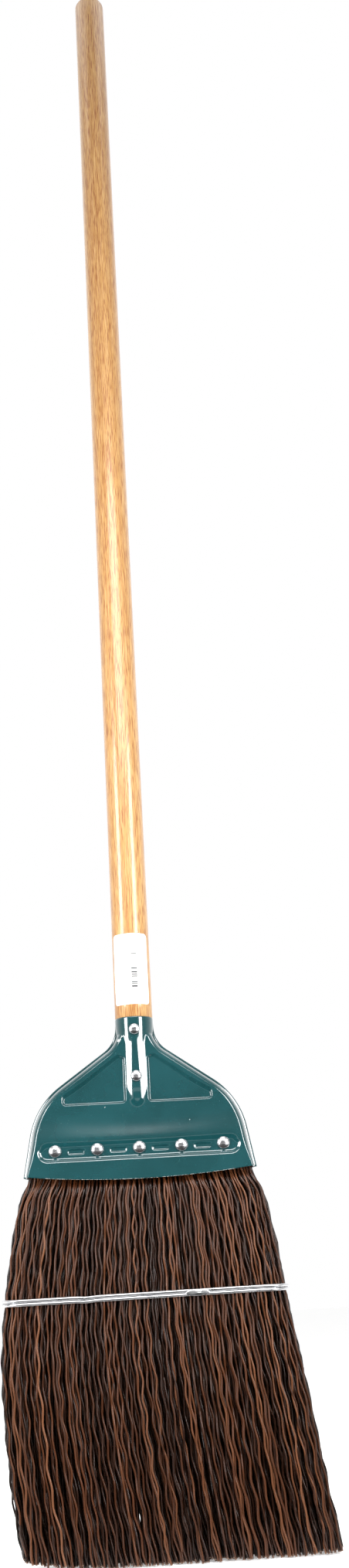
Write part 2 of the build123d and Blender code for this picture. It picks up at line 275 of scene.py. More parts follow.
def make_label():
    """A thin curved sheet with round corners."""
    across, up = LABEL_GRID
    height = label_high.z - label_low.z
    arc = math.radians(LABEL_SPAN[1] - LABEL_SPAN[0]) * handle_radius
    vertices, faces = [], []
    for lift in (INK_LIFT, PAPER):
        for row in range(up + 1):
            # The rows are closer near the corners, where the outline turns.
            share = 0.5 - 0.5 * math.cos(math.pi * row / up)
            from_edge = min(share, 1 - share) * height
            in_corner = max(LABEL_CORNER - from_edge, 0.0)
            cut = LABEL_CORNER - math.sqrt(LABEL_CORNER ** 2 - in_corner ** 2)
            for column in range(across + 1):
                along = cut + (arc - 2 * cut) * column / across
                angle = LABEL_SPAN[0] + math.degrees(along / handle_radius)
                vertices.append(on_handle(angle, label_low.z + share * height, lift))
    layer = (across + 1) * (up + 1)
    faces += grid_faces(up + 1, across + 1, layer) + grid_faces(up + 1, across + 1, flip=True)
    rim = list(range(across))
    rim += [row * (across + 1) + across for row in range(up)]
    rim += [up * (across + 1) + column for column in range(across, 0, -1)]
    rim += [row * (across + 1) for row in range(up, 0, -1)]
    for a, b in zip(rim, rim[1:] + rim[:1]):
        faces.append((a, b, layer + b, layer + a))
    return make_object("label_paper", vertices, faces, coated_paper())


def make_label_bars():
    """A column of plain bars of several widths, and a row of small ticks up each side."""
    draw = random.Random(5)
    vertices, faces = [], []
    height = label_low.z + BAR_MARGIN
    while height < label_high.z - BAR_MARGIN:
        thick = draw.choice((0.4, 0.4, 0.6, 0.9, 1.2)) * MM
        start = len(vertices)
        for level in (height, height + thick):
            for step in range(BAR_STEPS + 1):
                angle = BAR_SPAN[0] + (BAR_SPAN[1] - BAR_SPAN[0]) * step / BAR_STEPS
                vertices.append(on_handle(angle, level, PAPER + INK_LIFT))
        for a in range(start, start + BAR_STEPS):
            faces.append((a, a + 1, a + BAR_STEPS + 2, a + BAR_STEPS + 1))
        height += thick + draw.choice((0.5, 0.8, 1.1, 1.7)) * MM
    for angle, low, high in TICK_COLUMNS:
        height = label_low.z + low * MM
        while height < label_low.z + high * MM:
            size = draw.uniform(0.3, 0.9) * MM
            wide = draw.uniform(1.2, 3.4)
            start = len(vertices)
            for level in (height, height + size):
                for turn in (angle, angle + wide):
                    vertices.append(on_handle(turn, level, PAPER + INK_LIFT))
            faces.append((start, start + 1, start + 3, start + 2))
            height += size + draw.choice((0.6, 0.9, 2.4)) * MM
    return make_object("label_bars", vertices, faces, printed_ink())


label = make_label()
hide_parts("handle_label")
bars = make_label_bars()
for piece in (label, bars):
    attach(piece, "root")


# ---------------- cap halves
# Two pressings of 0.9 mm steel sheet, stove-enamelled dark green and folded together along their
# edges. Each has half a socket for the handle, two triangular recesses that stiffen the wings, and a
# long trough that the five fibre rivets sit in.

def middle_of(node):
    """The middle of a node's box."""
    low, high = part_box(node)
    return (low + high) / 2


COLLAR_RADIUS = 14.5 * MM
SHOULDER_DOWN = 60.8  # from here on, distances down are in mm below the collar's rim
CORNER_DOWN = 113.0
MOUTH_HALF = cap_high.x
MOUTH_MIDDLE = cap_low.z
MOUTH_BOW = 5.0 * MM  # the mouth's middle is this much lower than its corners
SHEET = 0.9 * MM
FACE_DEPTH = 11.5 * MM
HEM_WIDTH = 2.3 * MM
HEM_LAP = 0.4 * MM
RECESS = (  # (from the middle, down) in mm
    (11.3, 31.7), (13.0, 31.5), (26.0, 40.8), (38.0, 49.5), (47.0, 55.2), (52.4, 58.2), (52.7, 60.3),
    (11.3, 60.3),
)
RECESS_ROUND = 2.5 * MM
RECESS_DEPTH = 1.7 * MM
TROUGH_STRAIGHT = 66.75 * MM
TROUGH_FLOOR = 13.95 * MM
SLOT_DEPTH = 0.7 * MM
RIDGE_TOP = 14.05 * MM
RIDGE_END_DOWN = 60.0
ROW_Z = middle_of("fibre_rivet_3").z
RIVET_X = [middle_of(f"fibre_rivet_{number}").x for number in range(1, 6)]
ENAMEL = 0.08 * MM


def below_collar(distance_mm):
    """The height of a place this far below the collar's rim."""
    return collar_top - distance_mm * MM


def unit(vectors):
    """Each vector at length one."""
    return vectors / np.linalg.norm(vectors, axis=-1, keepdims=True)


def rounded_path(corners, radii, steps=28):
    """Points along straight runs joined by arcs of the given radii."""
    points = [np.array(corners[0], float)]
    for before, corner, after, radius in zip(corners, corners[1:], corners[2:], radii):
        before, corner, after = (np.array(p, float) for p in (before, corner, after))
        inward, outward = unit(before - corner), unit(after - corner)
        half = math.acos(float(np.clip(inward @ outward, -1, 1))) / 2
        centre = corner + unit(inward + outward) * radius / math.sin(half)
        start = corner + inward * radius / math.tan(half) - centre
        end = corner + outward * radius / math.tan(half) - centre
        sweep = math.acos(float(np.clip(start @ end / radius ** 2, -1, 1)))
        for step in range(steps + 1):
            share = step / steps
            from_start = math.sin((1 - share) * sweep) / math.sin(sweep)
            from_end = math.sin(share * sweep) / math.sin(sweep)
            points.append(centre + from_start * start + from_end * end)
    points.append(np.array(corners[-1], float))
    return np.array(points)


EDGE = rounded_path(
    (
        (COLLAR_RADIUS, collar_top),
        (COLLAR_RADIUS, below_collar(17.2)),
        (76.8 * MM, below_collar(SHOULDER_DOWN)),
        (MOUTH_HALF, below_collar(CORNER_DOWN)),
    ),
    (22.0 * MM, 56.0 * MM),
)


def smooth_step(start, end, value):
    """0 up to the start and 1 from the end, with an even curve between."""
    share = np.clip((value - start) / (end - start), 0.0, 1.0)
    return share * share * (3.0 - 2.0 * share)


def half_width(level):
    """Half the cap's outline at a height."""
    return np.interp(-np.asarray(level), -EDGE[:, 1], EDGE[:, 0])


def half_depth(level, x=0.0):
    """Half the cap's depth on its plain faces. They swell above the trough, first in the middle."""
    down = collar_top - np.asarray(level)
    start = (71 - 5 * np.minimum(np.abs(x) / (62 * MM), 1.0) ** 2) * MM
    swell = smooth_step(start, 97 * MM, down)
    mouth = smooth_step(86 * MM, 126 * MM, down)
    return FACE_DEPTH + 3.9 * MM * swell + 1.0 * MM * mouth


def dense_places(count, low, high, spots):
    """Places from low to high, closer together about each spot of (place, reach, extra density)."""
    fine = np.linspace(low, high, 4000)
    density = np.ones_like(fine)
    for place, reach, extra in spots:
        density += extra * np.exp(-(((fine - place) / reach) ** 2))
    total = np.concatenate([[0.0], np.cumsum((density[1:] + density[:-1]) / 2)])
    return np.interp(np.linspace(0, total[-1], count), total, fine)


def line_distance(x, z, start, end):
    """Distance to the straight line between two places."""
    run, rise = end[0] - start[0], end[1] - start[1]
    along = (x - start[0]) * run + (z - start[1]) * rise
    share = np.clip(along / (run * run + rise * rise + 1e-15), 0, 1)
    return np.hypot(x - start[0] - share * run, z - start[1] - share * rise)


def polygon_distance(x, z, corners):
    """Signed distance to a closed polygon, negative inside."""
    best = np.full(x.shape, 1e9)
    inside = np.zeros(x.shape, bool)
    for start, end in zip(corners, corners[1:] + corners[:1]):
        best = np.minimum(best, line_distance(x, z, start, end))
        run_up = (end[0] - start[0]) / ((end[1] - start[1]) or 1e-12)
        inside ^= ((start[1] > z) != (end[1] > z)) & (x < run_up * (z - start[1]) + start[0])
    return np.where(inside, -best, best)


def edge_distance(x, z):
    """Distance from points inside the cap to its hemmed edge."""
    best = np.full(x.shape, 1e9)
    for start, end in zip(EDGE, EDGE[1:]):
        best = np.minimum(best, line_distance(np.abs(x), z, start, end))
    return best


def soft_max(a, b, reach):
    """The larger of two heights, with a fillet where they meet."""
    blend = np.clip(0.5 + (a - b) / (2 * reach), 0.0, 1.0)
    return b + (a - b) * blend + reach * blend * (1 - blend)


def cap_height(x, z):
    """How far one half's outer face stands from the middle plane."""
    down = collar_top - z
    # The plain face, which falls to the hem over a short steep wall.
    wall = (5.2 - 2.6 * smooth_step(94, 116, down / MM)) * MM
    inside = np.clip((edge_distance(x, z) - HEM_WIDTH + HEM_LAP) / wall, 0.0, 1.0)
    rise = (1 - (1 - inside) ** 2.3) ** (1 / 2.0)
    face = SHEET + (half_depth(z, x) - SHEET) * rise

    # The triangular recesses of the wings.
    corners = [(from_middle * MM, below_collar(corner_down)) for from_middle, corner_down in RECESS]
    gap = polygon_distance(np.abs(x), z, corners) - RECESS_ROUND
    # Their lower and inner edges are pressed sharp, and their sloping upper edge is soft.
    upper_down = np.interp(np.abs(x) / MM, (12.6, 26.0, 38.0, 47.5), (30.2, 39.6, 48.4, 54.2))
    sloping = smooth_step(-5.5 * MM, -2.0 * MM, z - below_collar(upper_down))
    sloping *= smooth_step(10 * MM, 14 * MM, np.abs(x))
    soft = (0.7 + 1.0 * sloping) * MM
    pressed = smooth_step(soft, -soft, gap)
    face = face - RECESS_DEPTH * pressed

    # The trough, sharp along its lower lip and soft along its upper one. A short slot is pressed into
    # its floor between each two rivets.
    reach_x = np.maximum(np.abs(x) - TROUGH_STRAIGHT, 0.0)
    from_row = np.hypot(reach_x, z - ROW_Z)
    upper = smooth_step(-1.0 * MM, 2.5 * MM, z - ROW_Z)
    soft = (2.0 + 1.4 * upper) * MM
    sunk = smooth_step(soft, -soft, from_row - (6.5 - 0.8 * upper) * MM)
    floor = np.full_like(z, TROUGH_FLOOR)
    for left, right in zip(RIVET_X, RIVET_X[1:]):
        dx = np.maximum(np.abs(x - (left + right) / 2) - 4.2 * MM, 0.0) * 0.6
        dz = np.maximum(np.abs(z - ROW_Z + 0.9 * MM) - 0.6 * MM, 0.0)
        slot = np.hypot(dx, dz) - 0.9 * MM
        floor -= SLOT_DEPTH * smooth_step(0.5 * MM, -0.5 * MM, slot)
    face = face + (floor - face) * sunk * (down > RIDGE_END_DOWN * MM)

    # The ridge over the handle's tenon has a flat top and sloping flanks, and ends round.
    below_end = np.maximum(below_collar(RIDGE_END_DOWN) - z, 0.0)
    across = np.hypot(x, below_end * 0.9)
    flat_half = (1.0 + 1.3 * smooth_step(10, 60, down / MM)) * MM
    past_flat = np.maximum(across - flat_half, 0.0)
    top = RIDGE_TOP - 0.3 * MM * smooth_step(19, 50, down / MM)
    top -= 1.7 * MM * smooth_step(49, 68, down / MM)
    ridge = top - 0.45 * (np.sqrt(past_flat ** 2 + (0.9 * MM) ** 2) - 0.9 * MM)
    ridge -= 10.0 * MM * smooth_step(8.5 * MM, 13.5 * MM, across)
    # Above it the socket is a plain round collar.
    socket = COLLAR_RADIUS - 0.5 * MM * smooth_step(3, 15, down / MM)
    socket -= 2.9 * MM * smooth_step(14, 32, down / MM)
    collar = np.sqrt(np.maximum(socket ** 2 - x * x, 0.0))
    necking = smooth_step(9.0 * MM, 17.0 * MM, down)
    ridge = collar + (ridge - collar) * necking
    body = soft_max(face * smooth_step(2 * MM, 15 * MM, down), collar, 0.45 * MM)
    return soft_max(body, ridge, (0.45 + 0.9 * smooth_step(52, 62, down / MM)) * MM)


GRID_ROWS = 196
GRID_COLUMNS = 233


def cap_grid():
    """Points in x and z over one half, row by row from the collar to the mouth."""
    recess_edges = ((62, 3.0, 0.8), (30, 4.0, 0.5), (67, 4.0, 0.4))
    trough_edges = ((96, 9.0, 0.9), (103, 2.0, 1.2))
    levels = dense_places(GRID_ROWS, 0.0, CORNER_DOWN, (*recess_edges, *trough_edges, (12, 8, 0.3)))
    rims = ((-1.0, 0.07, 2.6), (1.0, 0.07, 2.6))
    wings = ((-0.75, 0.1, 0.3), (0.75, 0.1, 0.3))
    shares = dense_places(GRID_COLUMNS, -1.0, 1.0, ((0.0, 0.13, 1.6), *rims, *wings))
    share, down = np.meshgrid(shares, levels)
    level = collar_top - down * MM
    # Where the cap is only its round collar, the columns follow the round.
    round_share = np.sin(share * math.pi / 2)
    share = share + (round_share - share) * (1 - smooth_step(0, 26, down))
    x = share * (half_width(level) - (HEM_WIDTH - HEM_LAP) * smooth_step(8, 24, down))
    z = level - MOUTH_BOW * smooth_step(60, CORNER_DOWN, down) * (1 - share ** 2)
    return x, z


def stove_enamel():
    """Dark green stoving enamel on steel: an even gloss coat, with dust specks set in it, rubs and a few
    chips down to bright metal. The bright metal along the mouth's whole edge is a painted highlight of the
    sheet's edge. It mirrors lights sharply, and is a deep green between them."""
    material, tree, shader, place = start_material(
        "stove_enamel", Roughness=0.14, IOR=1.5, Coat_Weight=1.0, Coat_IOR=1.6, Coat_Roughness=0.05
    )
    drift = add(tree, "TexNoise", {"Scale": 1000 / 38, "Detail": 3.0, "Roughness": 0.6}, {"Vector": place})
    body = add(tree, "ValToRGB", links={"Fac": drift}, stops=((0.35, "#0B373A"), (0.65, "#103F43")))
    dust = add(tree, "TexNoise", {"Scale": 1000 / 0.9, "Detail": 2.0}, {"Vector": place})
    specks = add(tree, "ValToRGB", links={"Fac": dust}, stops=((0.70, 0.0), (0.76, 0.4)))
    dusty = add(tree, "Mix", {7: "#5F8583"}, {0: specks, 6: body}, data_type="RGBA").outputs[2]
    # Besides real chips, the bare metal mask paints a highlight along the mouth's edge, where the sheet's
    # edge catches the light.
    wear_and_edge_highlight = add(tree, "Attribute", attribute_name="wear_and_edge_highlight").outputs["Fac"]
    across_chips = add(tree, "Mapping", {"Scale": one_per(1.6, 1.6, 1.1)}, {"Vector": place})
    grit = add(tree, "TexNoise", {"Scale": 1.0, "Detail": 5.0, "Roughness": 0.7}, {"Vector": across_chips})
    worn_and_edge_highlight = add(tree, "Math", links={0: wear_and_edge_highlight, 1: grit}, operation="MULTIPLY")
    chips_and_edge_highlight = add(tree, "ValToRGB", links={"Fac": worn_and_edge_highlight}, stops=((0.42, 0.0), (0.45, 1.0)))
    colour = add(tree, "Mix", {7: "#C9CBC8"}, {0: chips_and_edge_highlight, 6: dusty}, data_type="RGBA").outputs[2]
    rough = add(tree, "MapRange", {"To Min": 0.09, "To Max": 0.21}, {"Value": drift})
    peel = add(tree, "TexNoise", {"Scale": 1000 / 2.6, "Detail": 2.0}, {"Vector": place})
    bump = add(tree, "Bump", {"Strength": 0.12, "Distance": ENAMEL}, {"Height": peel})
    link_up(tree, shader, {"Base Color": colour, "Roughness": rough, "Normal": bump})
    return material


def wear_and_edge_highlight_at(x, z, spots):
    """1 at worn places and falling to 0 a little way from them, and along the mouth's edge, where it paints a
    highlight. A spot is (x, down, reaches) in mm.
    """
    wear_and_edge_highlight = np.zeros(x.shape)
    for spot_x, spot_down, reach_x, reach_z in spots:
        across = (x - spot_x * MM) / (reach_x * MM)
        up = (z - below_collar(spot_down)) / (reach_z * MM)
        wear_and_edge_highlight = np.maximum(wear_and_edge_highlight, np.exp(-across ** 2 - up ** 2))
    # The mouth's edge is rubbed bright along its whole length.
    # A painted highlight runs along the mouth's whole edge, where the sheet's edge catches the light. It is
    # drawn in the bare metal colour.
    mouth = MOUTH_MIDDLE + MOUTH_BOW * (x / MOUTH_HALF) ** 2
    return np.maximum(wear_and_edge_highlight, 0.95 * (z < mouth + 0.15 * MM))


# The hem's section, as (distance in from the outline, distance from the middle plane) in mm. Its face
# is nearly flat and leans outwards.
HEM_SECTION = (
    (0.2, 0.03), (0.04, 0.1), (0.0, 0.22), (0.05, 0.42), (0.3, 0.78), (0.5, 0.93), (0.75, 1.04),
    (1.3, 1.25), (1.8, 1.42), (2.0, 1.46), (2.17, 1.42), (2.27, 1.28), (2.3, 1.1), (2.3, 0.3), (2.2, 0.03),
)


def hem_bead(side):
    """The folded edge along both sides of the outline, as two closed strips."""
    vertices, faces = [], []
    ring_steps = len(HEM_SECTION)
    path = EDGE[(EDGE[:, 1] < collar_top - 0.2 * MM)]
    fine = [path[0]]
    for a, b in zip(path, path[1:]):
        count = max(int(np.linalg.norm(b - a) / (1.6 * MM)), 1)
        fine += [a + (b - a) * step / count for step in range(1, count + 1)]
    fine = np.array(fine)
    slope = unit(np.gradient(fine, axis=0))
    for hand in (-1, 1):
        start = len(vertices)
        for point, direction in zip(fine, slope):
            down = (collar_top - point[1]) / MM
            full = float(smooth_step(6, 24, down)) * 0.8 + 0.2
            inward = np.array([direction[1], -direction[0]])
            inward *= -1 if inward[0] > 0 else 1
            for reach, rise in HEM_SECTION:
                place = point + inward * reach * MM * full
                y = side * rise * MM * (0.5 + 0.5 * full)
                vertices.append((hand * place[0], y, place[1]))
        count = len(fine)
        faces += grid_faces(count, ring_steps, start, around=True, flip=hand * side > 0)
        first = tuple(range(start, start + ring_steps))
        last = tuple(range(start + (count - 1) * ring_steps, start + count * ring_steps))
        faces += (first, last[::-1]) if hand * side > 0 else (first[::-1], last)
    return vertices, faces


def set_attribute(piece, name, values):
    """Stores a number for each vertex, for the material to read."""
    layer = piece.data.attributes.new(name, "FLOAT", "POINT")
    layer.data.foreach_set("value", np.asarray(values, np.float32).reshape(-1))


def make_cap_half(name, side, wear_spots, material):
    """side is -1 for the front half and 1 for the back one."""
    x, z = cap_grid()
    height = cap_height(x, z)
    vertices = np.stack([x, side * height, z], axis=-1).reshape(-1, 3)
    faces = grid_faces(*x.shape, flip=side < 0)
    half = make_object(name, vertices, faces, material)
    set_attribute(half, "wear_and_edge_highlight", wear_and_edge_highlight_at(x, z, wear_spots))
    thick = half.modifiers.new("sheet", "SOLIDIFY")
    thick.thickness = SHEET
    thick.offset = -1
    bead = make_object(name + "_hem", *hem_bead(side), material)
    points = np.array([v.co for v in bead.data.vertices])
    set_attribute(bead, "wear_and_edge_highlight", wear_and_edge_highlight_at(points[:, 0], points[:, 2], wear_spots))
    bpy.ops.object.select_all(action="DESELECT")
    bpy.context.view_layer.objects.active = half
    half.select_set(True)
    bpy.ops.object.modifier_apply(modifier="sheet")
    bead.select_set(True)
    bpy.ops.object.join()
    half.select_set(False)
    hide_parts(name)
    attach(half, "root")


enamel = stove_enamel()
FRONT_WEAR = (
    (-12.0, 17.0, 3.2, 2.4), (-9.6, 14.4, 1.6, 1.4), (-5.2, 24.0, 1.6, 3.0), (-60, 47, 5.0, 2.2),
    (-66, 52, 2.0, 3.0), (64, 56, 2.2, 2.2), (47, 43, 2.5, 1.2), (-24, 66, 1.2, 0.9), (38, 78, 0.9, 0.9),
)
BACK_WEAR = ((20, 26, 3, 2), (-60, 52, 3.5, 2.0), (66, 60, 2.5, 3.0), (8, 110, 5, 1.5))
make_cap_half("cap_front", -1, FRONT_WEAR, enamel)
make_cap_half("cap_back", 1, BACK_WEAR, enamel)


# ---------------- rivets and washers
# Domed steel rivets with a bright nickel plate, set from the front. The tails are peened over small
# flat washers on the back.

def nickel_plate():
    """Bright nickel plate with a faint haze and small marks from setting, so that each head catches
    the lights a little differently."""
    material, tree, shader, place = start_material("nickel_plate", Metallic=1.0, Roughness=0.12)
    haze = add(tree, "TexNoise", {"Scale": 1000 / 2.2, "Detail": 4.0}, {"Vector": place})
    colour = add(tree, "ValToRGB", links={"Fac": haze}, stops=((0.3, "#D6D6DA"), (0.7, "#F2F1F3")))
    rough = add(tree, "MapRange", {"To Min": 0.16, "To Max": 0.32}, {"Value": haze})
    dents = add(tree, "TexNoise", {"Scale": 1000 / 1.1, "Detail": 2.0}, {"Vector": place})
    bump = add(tree, "Bump", {"Strength": 0.18, "Distance": 0.08 * MM}, {"Height": dents})
    link_up(tree, shader, {"Base Color": colour, "Roughness": rough, "Normal": bump})
    return material


SHANK_RADIUS = 2.4 * MM
HEAD_RIM = 0.35 * MM
FIBRE_RIVET_HEAD = (4.6 * MM, 2.7 * MM)  # radius and height
HANDLE_RIVET_HEAD = (4.1 * MM, 2.3 * MM)
RIVET_TAIL = (3.4 * MM, 1.5 * MM)
WASHER_EDGE = 0.25 * MM
RIVET_SEGMENTS = 40
plate = nickel_plate()


def dome_profile(radius, height, base, steps=9):
    """A domed head with a small rolled rim, from its base outwards."""
    points = [(SHANK_RADIUS, base), (radius - HEAD_RIM, base)]
    points += quarter(radius - HEAD_RIM, base + HEAD_RIM, HEAD_RIM, -90, 20, 4)
    top_from, span = points[-1], height - (points[-1][1] - base)
    for step in range(1, steps + 1):
        turn = math.pi / 2 * step / steps
        points.append((top_from[0] * math.cos(turn), top_from[1] + span * math.sin(turn)))
    points[-1] = (0.0, base + height)
    return points


def make_rivet(node, head):
    """One turned body: the head in front, the shank and the peened tail behind."""
    low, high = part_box(node)
    middle = middle_of(node)
    front = dome_profile(*head, -low.y - head[1])
    back = [(radius, -out) for radius, out in dome_profile(*RIVET_TAIL, high.y - RIVET_TAIL[1], 6)]
    profile = back[::-1] + front
    shape = lathe(profile, RIVET_SEGMENTS, (middle.x, 0, middle.z), (0, -1, 0))
    rivet = make_object(node + "_plated", *shape, plate)
    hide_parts(node)
    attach(rivet, "root")


def make_washer(node):
    """A flat ring with round outer edges."""
    low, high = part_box(node)
    middle = middle_of(node)
    inner, round_radius = SHANK_RADIUS + 0.05 * MM, (high.x - low.x) / 2 - WASHER_EDGE
    profile = [(inner, low.y), (round_radius, low.y)]
    profile += quarter(round_radius, low.y + WASHER_EDGE, WASHER_EDGE, -90, 0, 3)
    profile += quarter(round_radius, high.y - WASHER_EDGE, WASHER_EDGE, 0, 90, 3)
    profile += [(inner, high.y), (inner, low.y)]
    shape = lathe(profile, RIVET_SEGMENTS, (middle.x, 0, middle.z), (0, 1, 0))
    washer = make_object(node + "_plated", *shape, plate)
    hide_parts(node)
    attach(washer, "root")


for number in range(1, 6):
    make_rivet(f"fibre_rivet_{number}", FIBRE_RIVET_HEAD)
    make_washer(f"fibre_rivet_washer_{number}")
for place in ("upper", "lower"):
    make_rivet(f"handle_rivet_{place}", HANDLE_RIVET_HEAD)
    make_washer(f"handle_rivet_washer_{place}")


# ---------------- rod in the fibres' fold
# A plain drawn steel rod across the inside of the cap, which the fibres are doubled over.

def drawn_steel():
    """Plain grey steel with fine lines along the rod from the die, which make it look dull."""
    material, tree, shader, place = start_material("drawn_steel", Metallic=1.0, Roughness=0.4)
    along_rod = add(tree, "Mapping", {"Scale": one_per(40, 0.4, 0.4)}, {"Vector": place})
    lines = add(tree, "TexNoise", {"Scale": 1.0, "Detail": 3.0}, {"Vector": along_rod})
    colour = add(tree, "ValToRGB", links={"Fac": lines}, stops=((0.3, "#77777A"), (0.7, "#A2A2A4")))
    link_up(tree, shader, {"Base Color": colour})
    return material


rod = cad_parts["core_rod"]
rod.data.materials.clear()
rod.data.materials.append(drawn_steel())


# ---------------- fibres
# Over a thousand crimped filaments of brown extruded plastic, about 1.6 mm thick. The cap grips them,
# the band pinches them, and use has bent their tips to the right. Each is cut off square at its tip.

FIBRE_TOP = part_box("fibre_root")[1].z
BAND_Z = (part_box("band_wire_lower")[0].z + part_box("band_wire_upper")[1].z) / 2
MOUTH_CORNER_Z = MOUTH_MIDDLE + MOUTH_BOW
FIBRE_RADIUS = 0.78 * MM
CRIMP_WAVE = 25.0 * MM
CRIMP_REACH = 0.85 * MM
TIP_LEAN = 18.0 * MM
LEAN_FROM_Z = 160 * MM
FLARE = 21.4 * MM  # how much further each side of the fan reaches than the mouth


def fan_middle(level):
    """How far the fan has leant to the right."""
    return TIP_LEAN * np.maximum((LEAN_FROM_Z - level) / LEAN_FROM_Z, 0.0) ** 1.5


def fan_half_width(level):
    """Half the fan's width, which grows quickly at first and is full three quarters of the way down."""
    below = np.clip((MOUTH_CORNER_Z - level) / MOUTH_CORNER_Z / 0.75, 0.0, 1.0)
    return MOUTH_HALF - 0.6 * MM + FLARE * (1.0 - (1.0 - below) ** 2)


def fan_half_depth(level):
    """Half the fan's depth. The filaments bulge out just below the mouth, and spread to the tips."""
    below_mouth = smooth_step(-MOUTH_MIDDLE - 3 * MM, -MOUTH_MIDDLE + 8 * MM, -level)
    to_tips = smooth_step(-BAND_Z, 0.0, -level)
    return (10.2 + 4.6 * below_mouth + 3.6 * to_tips) * MM


def tip_height(x):
    """The line that the tips are trimmed to."""
    left = np.maximum(-35 * MM - x, 0.0) / (56 * MM)
    right = np.maximum(x - 80 * MM, 0.0) / (42 * MM)
    return 7.0 * MM * left ** 2 + 0.6 * MM * right ** 2


def extruded_polymer():
    """Brown extruded plastic with a soft gloss. Filaments differ a little in tone, the inner layers are
    painted near black as painted shade, and their cut ends are paler, so that single filaments stand out
    against the dark between them."""
    values = {"Roughness": 0.3, "IOR": 1.49, "Specular_IOR_Level": 0.4}
    material, tree, shader, place = start_material("extruded_polymer", **values)
    tone_and_depth_shade = add(tree, "Attribute", attribute_name="tone_and_depth_shade").outputs["Fac"]
    tone_stops = ((0.0, "#040201"), (0.35, "#1E0D06"), (0.7, "#4A2712"), (1.0, "#6E452C"))
    brown = add(tree, "ValToRGB", links={"Fac": tone_and_depth_shade}, stops=tone_stops)
    along_fibre = add(tree, "Mapping", {"Scale": one_per(0.8, 0.8, 16)}, {"Vector": place})
    lines = add(tree, "TexNoise", {"Scale": 1.0, "Detail": 3.0}, {"Vector": along_fibre})
    streaks = add(tree, "ValToRGB", links={"Fac": lines}, stops=((0.35, 0.0), (0.7, 0.3)))
    body = add(tree, "Mix", {7: "#42230F"}, {0: streaks, 6: brown}, data_type="RGBA").outputs[2]
    cut = add(tree, "Attribute", attribute_name="cut").outputs["Fac"]
    colour = add(tree, "Mix", {7: "#7E6555"}, {0: cut, 6: body}, data_type="RGBA").outputs[2]
    rough = add(tree, "MapRange", {"To Min": 0.18, "To Max": 0.38}, {"Value": lines})
    bump = add(tree, "Bump", {"Strength": 0.2, "Distance": 0.1 * MM}, {"Height": lines})
    link_up(tree, shader, {"Base Color": colour, "Roughness": rough, "Normal": bump})
    return material


def slow_wander(draw, levels):
    """A smooth sideways drift that is nothing where the filaments are held and grows between."""
    free_upper = np.sin(np.pi * np.clip((MOUTH_MIDDLE - levels) / (MOUTH_MIDDLE - BAND_Z), 0, 1))
    free_lower = np.clip((BAND_Z - levels) / BAND_Z, 0, 1) ** 0.8
    phase = draw.uniform(0, 2 * math.pi)
    length = draw.uniform(70, 160) * MM
    upper = draw.gauss(0, 0.5) * MM * free_upper
    lean = draw.gauss(0, 1.6) * MM
    sway = draw.gauss(0, 0.7) * MM * np.sin(levels / length * 2 * math.pi + phase)
    return upper + (lean + sway) * free_lower


def filament(draw, share_x, share_y, segments, top):
    """The centre line of one filament, from the top down to its tip."""
    tip_guess = fan_middle(0.0) + share_x * fan_half_width(0.0)
    tip = float(tip_height(np.array(tip_guess))) + abs(draw.gauss(0, 0.9)) * MM
    levels = np.append(np.linspace(top, tip + 0.9 * MM, segments - 1), tip)
    held = smooth_step(MOUTH_MIDDLE - 14 * MM, MOUTH_MIDDLE + 8 * MM, levels)
    # Inside the cap the pack is as wide as the cap, and follows it up.
    inside_width = half_width(np.maximum(levels, MOUTH_CORNER_Z)) - 5.2 * MM
    outside_width = fan_half_width(levels) - FIBRE_RADIUS
    width = outside_width + (np.minimum(inside_width, outside_width) - outside_width) * held
    depth = np.minimum(fan_half_depth(levels), half_depth(levels) - SHEET - 1.0 * MM * held) - FIBRE_RADIUS
    depth = np.where(levels > MOUTH_MIDDLE, np.minimum(depth, 11.8 * MM), depth)
    # The corners of the pack are rounded.
    corner = 1 - 0.22 * np.clip((abs(share_x) - 0.9) / 0.1, 0, 1)
    x = fan_middle(levels) + share_x * width
    y = share_y * depth * corner
    # Neighbours were crimped together, so their waves nearly agree.
    phase = 5.0 * math.sin(9 * share_x + 3 * share_y) + 1.6 * math.sin(29 * share_x) + draw.gauss(0, 0.6)
    plane = draw.gauss(0, 0.6)
    wave = CRIMP_WAVE * draw.uniform(0.88, 1.12)
    pinched = smooth_step(6 * MM, 0, np.abs(levels - BAND_Z))
    reach = CRIMP_REACH * draw.uniform(0.6, 1.15) * (1 - 0.55 * pinched)
    angle = levels / wave * 2 * math.pi + phase
    crimp = np.sin(angle) - np.sin(3 * angle) / 18
    x = x + crimp * reach * math.cos(plane) + slow_wander(draw, levels)
    y_wave = crimp * reach * math.sin(plane) + slow_wander(draw, levels) * 0.5
    limit = fan_half_depth(levels) - 0.3 * MM
    y = np.clip(y + y_wave, -limit, limit)
    return np.stack([x, y, levels], axis=-1)


def tube(line, radius, sides, twist):
    """Rings about a centre line, closed at the top and cut square at the tip."""
    slope = unit(np.gradient(line, axis=0))
    first = unit(np.cross(slope, (0.0, 1.0, 0.0)))
    second = np.cross(slope, first)
    turns = twist + 2 * np.pi * np.arange(sides) / sides
    rings = line[:, None, :] + radius * (
        np.cos(turns)[None, :, None] * first[:, None, :] + np.sin(turns)[None, :, None] * second[:, None, :]
    )
    return rings.reshape(-1, 3)


